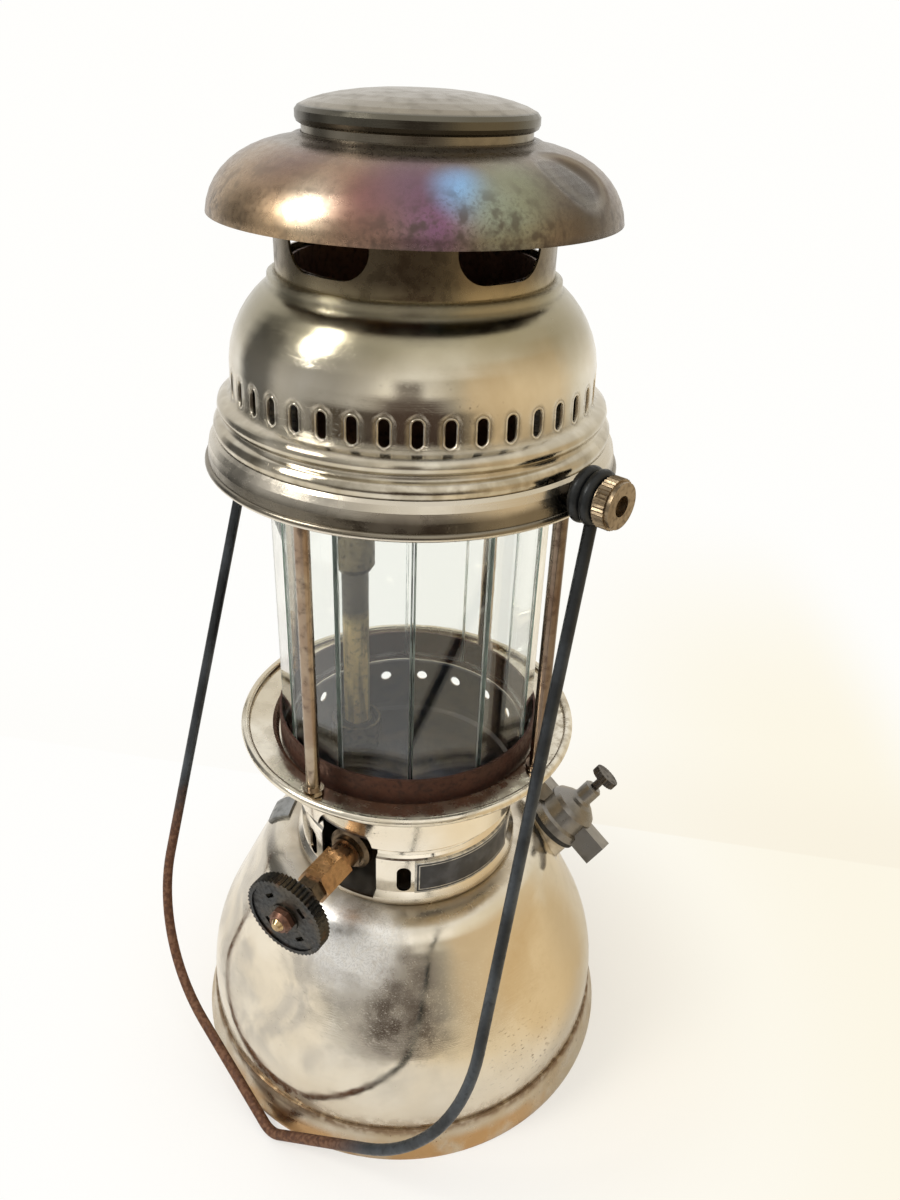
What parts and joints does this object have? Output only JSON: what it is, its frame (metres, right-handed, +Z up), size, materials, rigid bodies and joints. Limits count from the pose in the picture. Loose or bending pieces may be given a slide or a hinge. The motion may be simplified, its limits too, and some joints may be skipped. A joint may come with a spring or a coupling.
{
  "type": "pressure paraffin lantern",
  "caption": "Nickel-plated pressure paraffin lantern with a caged glass-strip globe, ventilated hood, round tank, handwheel valve, filler cap, hand pump and a wire bail.",
  "frame": {"origin": "centre of the foot's lower edge, on the ground", "axes": "+Z up along the lantern's axis; X along the bail's pivots, +X towards the right-hand knurled nut; -Y is the side that the bail hangs on, with the handwheel"},
  "size_m": [0.1605, 0.1613, 0.3241],
  "materials": {
    "foot_brass": "aged, brown at the seam",
    "tank_nickel": "polished nickel plate, warm and lightly scratched",
    "gallery_nickel": "nickel plate with brown spotting",
    "hood_nickel": "polished nickel plate, warm",
    "band_nickel": "darkened nickel plate",
    "cap_nickel": "heat-tinted nickel plate, gold to mauve",
    "disc_grey": "dull, oxidised",
    "neck_brown": "dark brown heat patina",
    "chimney_brown": "brown heat oxide",
    "solder": "dull lead-grey solder",
    "badge_black": "black with a silver border, bare",
    "brass_cast": "cast, dull",
    "brass_gold": "aged",
    "nut_brass": "aged, knurled",
    "vaporizer_brass": "mottled by heat",
    "bronze_dark": "dark patina",
    "steel_dark": "dark, worn",
    "soot_steel": "sooty",
    "spindle_steel": "turned",
    "bail_steel": "blue-black wire with rust brown on the lower left",
    "iron_dark": "black, worn to grey on the rim",
    "rust_steel": "rust brown",
    "rod_nickel": "worn plate, coppery",
    "cap_grey": "cast, worn grey",
    "glass_clear": "clear, greenish edges",
    "clay": "fired clay, unglazed",
    "rubber_black": "matt",
    "leather_brown": "oiled",
    "knob_black": "black lacquer"
  },
  "bodies": {
    "lantern": {"foot_ring": "foot_brass", "tank_shell": "tank_nickel", "tank_bottom": "tank_nickel", "solder_patch": "solder", "collar": "tank_nickel", "badge_plate": "badge_black", "gallery_dish": "gallery_nickel", "valve_body": "brass_cast", "pickup_tube": "brass_cast", "spindle_flange": "bronze_dark", "gland_hex": "brass_gold", "packing_nut": "steel_dark", "vaporizer_tube": "vaporizer_brass", "vaporizer_sleeve": "soot_steel", "jet_nipple": "brass_gold", "spirit_cup": "soot_steel", "mixing_tube": "vaporizer_brass", "burner_chamber": "soot_steel", "burner_nozzle": "clay", "burner_plate": "soot_steel", "inner_chimney": "chimney_brown", "globe_strips": "glass_clear", "globe_ring_lower": "rust_steel", "globe_ring_upper": "soot_steel", "rod_front": "rod_nickel", "rod_right": "rod_nickel", "rod_back": "rod_nickel", "rod_left": "rod_nickel", "cage_ring": "soot_steel", "stud_right": "steel_dark", "stud_left": "steel_dark", "filler_neck": "tank_nickel", "pump_barrel": "brass_gold", "pump_valve": "brass_gold", "pump_cap": "brass_gold"},
    "bail": {"bail": "bail_steel"},
    "right_nut": {"nut_right": "nut_brass"},
    "left_nut": {"nut_left": "nut_brass"},
    "hood": {"hood_band": "band_nickel", "hood_shoulder": "hood_nickel", "hood_neck": "neck_brown", "hood_cap": "cap_nickel", "hood_disc": "disc_grey"},
    "handwheel_set": {"spindle": "spindle_steel", "handwheel": "iron_dark", "wheel_nut": "rust_steel"},
    "needle_lift": {"lift_yoke": "brass_cast", "valve_rod": "brass_cast", "needle_rod": "spindle_steel"},
    "filler_seal": {"filler_gasket": "rubber_black"},
    "filler_cap_body": {"filler_cap": "cap_grey"},
    "release_screw_body": {"release_screw": "steel_dark"},
    "pump_plunger": {"pump_rod": "spindle_steel", "pump_leather": "leather_brown", "pump_knob": "knob_black"}
  },
  "joints": [
    {"name": "bail_swing", "type": "hinge", "parent": "lantern", "child": "bail", "pos_m": [0, 0, 0.23595], "axis": [-1, 0, 0], "range_deg": [0, 321.9]},
    {"name": "right_nut_turn", "type": "hinge", "parent": "lantern", "child": "right_nut", "pos_m": [0.0673, 0, 0.23595], "axis": [1, 0, 0], "continuous": true},
    {"name": "left_nut_turn", "type": "hinge", "parent": "lantern", "child": "left_nut", "pos_m": [-0.0673, 0, 0.23595], "axis": [-1, 0, 0], "continuous": true},
    {"name": "hood_lift", "type": "slide", "parent": "lantern", "child": "hood", "axis": [0, 0, 1], "range_m": [0, 0.08]},
    {"name": "handwheel_turn", "type": "hinge", "parent": "lantern", "child": "handwheel_set", "pos_m": [0, 0, 0.0997], "axis": [0.2079, -0.9781, 0], "range_deg": [-60, 60]},
    {"name": "needle_lift_slide", "type": "slide", "parent": "lantern", "child": "needle_lift", "axis": [0, 0, 1], "range_m": [-0.0018, 0.0018]},
    {"name": "filler_seal_lift", "type": "slide", "parent": "lantern", "child": "filler_seal", "axis": [0.4001, 0.5031, 0.766], "range_m": [0, 0.03]},
    {"name": "filler_cap_turn", "type": "hinge", "parent": "filler_seal", "child": "filler_cap_body", "pos_m": [0.03393, 0.04265, 0.07239], "axis": [0.4001, 0.5031, 0.766], "continuous": true},
    {"name": "release_screw_turn", "type": "hinge", "parent": "filler_cap_body", "child": "release_screw_body", "pos_m": [0.03393, 0.04265, 0.07239], "axis": [0.4001, 0.5031, 0.766], "continuous": true},
    {"name": "pump_stroke", "type": "slide", "parent": "lantern", "child": "pump_plunger", "axis": [-0.3807, 0.8164, 0.4341], "range_m": [0, 0.038]}
  ],
  "couplings": [
    {"joint": "needle_lift_slide", "follows": "handwheel_turn", "m_per_rad": 0.001654}
  ]
}
